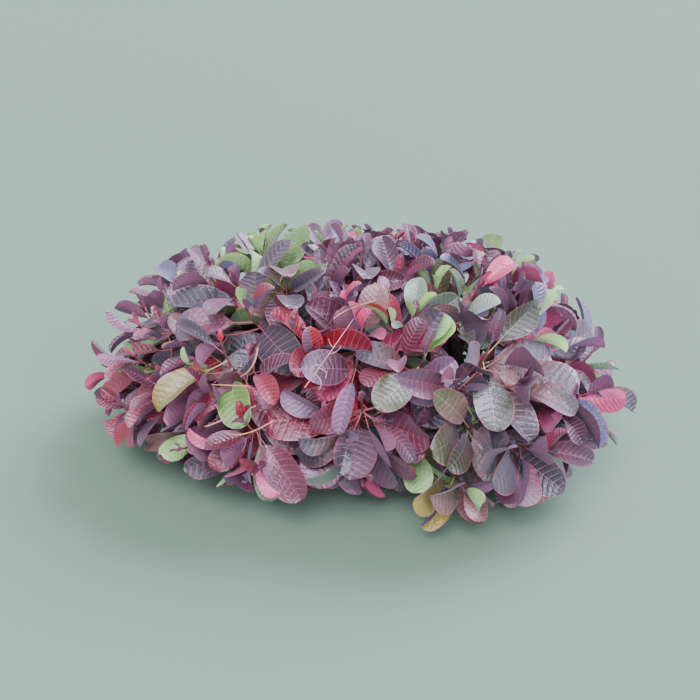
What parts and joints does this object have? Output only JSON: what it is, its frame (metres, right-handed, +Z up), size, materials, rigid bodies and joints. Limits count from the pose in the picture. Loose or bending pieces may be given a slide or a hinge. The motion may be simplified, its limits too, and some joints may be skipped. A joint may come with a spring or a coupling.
{
  "type": "royal purple smoke bush",
  "caption": "Low dense mound of rounded purple, crimson and green leaves on a short woody stem, rooted in the ground.",
  "frame": {"origin": "middle of the flat cut under the short stem, at ground level", "axes": "+Z up, -Y towards the viewer of the picture, +X to the viewer's right along the widest extent"},
  "size_m": [0.6182, 0.4766, 0.2683],
  "materials": {
    "bark": "matt grey-brown bark",
    "leaves_right": "satin purple-leaved foliage, with green and crimson leaves among it",
    "leaves_back_right": "satin purple-leaved foliage, with green and crimson leaves among it",
    "leaves_back": "satin purple-leaved foliage, with green and crimson leaves among it",
    "leaves_back_left": "satin purple-leaved foliage, with green and crimson leaves among it",
    "leaves_left": "satin purple-leaved foliage, with green and crimson leaves among it",
    "leaves_front_left": "satin purple-leaved foliage, with green and crimson leaves among it",
    "leaves_front": "satin purple-leaved foliage, with green and crimson leaves among it",
    "leaves_front_right": "satin purple-leaved foliage, with green and crimson leaves among it",
    "leaves_upper_right": "satin purple-leaved foliage, with green and crimson leaves among it",
    "leaves_upper_back": "satin purple-leaved foliage, with green and crimson leaves among it",
    "leaves_upper_left": "satin purple-leaved foliage, with green and crimson leaves among it",
    "leaves_upper_front": "satin purple-leaved foliage, with green and crimson leaves among it",
    "leaves_crown": "satin purple-leaved foliage, with green and crimson leaves among it"
  },
  "bodies": {
    "root": {"trunk": "bark", "bough_right": "bark", "bough_back_right": "bark", "bough_back": "bark", "bough_back_left": "bark", "bough_left": "bark", "bough_front_left": "bark", "bough_front": "bark", "bough_front_right": "bark", "bough_upper_right": "bark", "bough_upper_back": "bark", "bough_upper_left": "bark", "bough_upper_front": "bark", "bough_crown": "bark", "foliage_right": "leaves_right", "foliage_back_right": "leaves_back_right", "foliage_back": "leaves_back", "foliage_back_left": "leaves_back_left", "foliage_left": "leaves_left", "foliage_front_left": "leaves_front_left", "foliage_front": "leaves_front", "foliage_front_right": "leaves_front_right", "foliage_upper_right": "leaves_upper_right", "foliage_upper_back": "leaves_upper_back", "foliage_upper_left": "leaves_upper_left", "foliage_upper_front": "leaves_upper_front", "foliage_crown": "leaves_crown"}
  },
  "joints": []
}
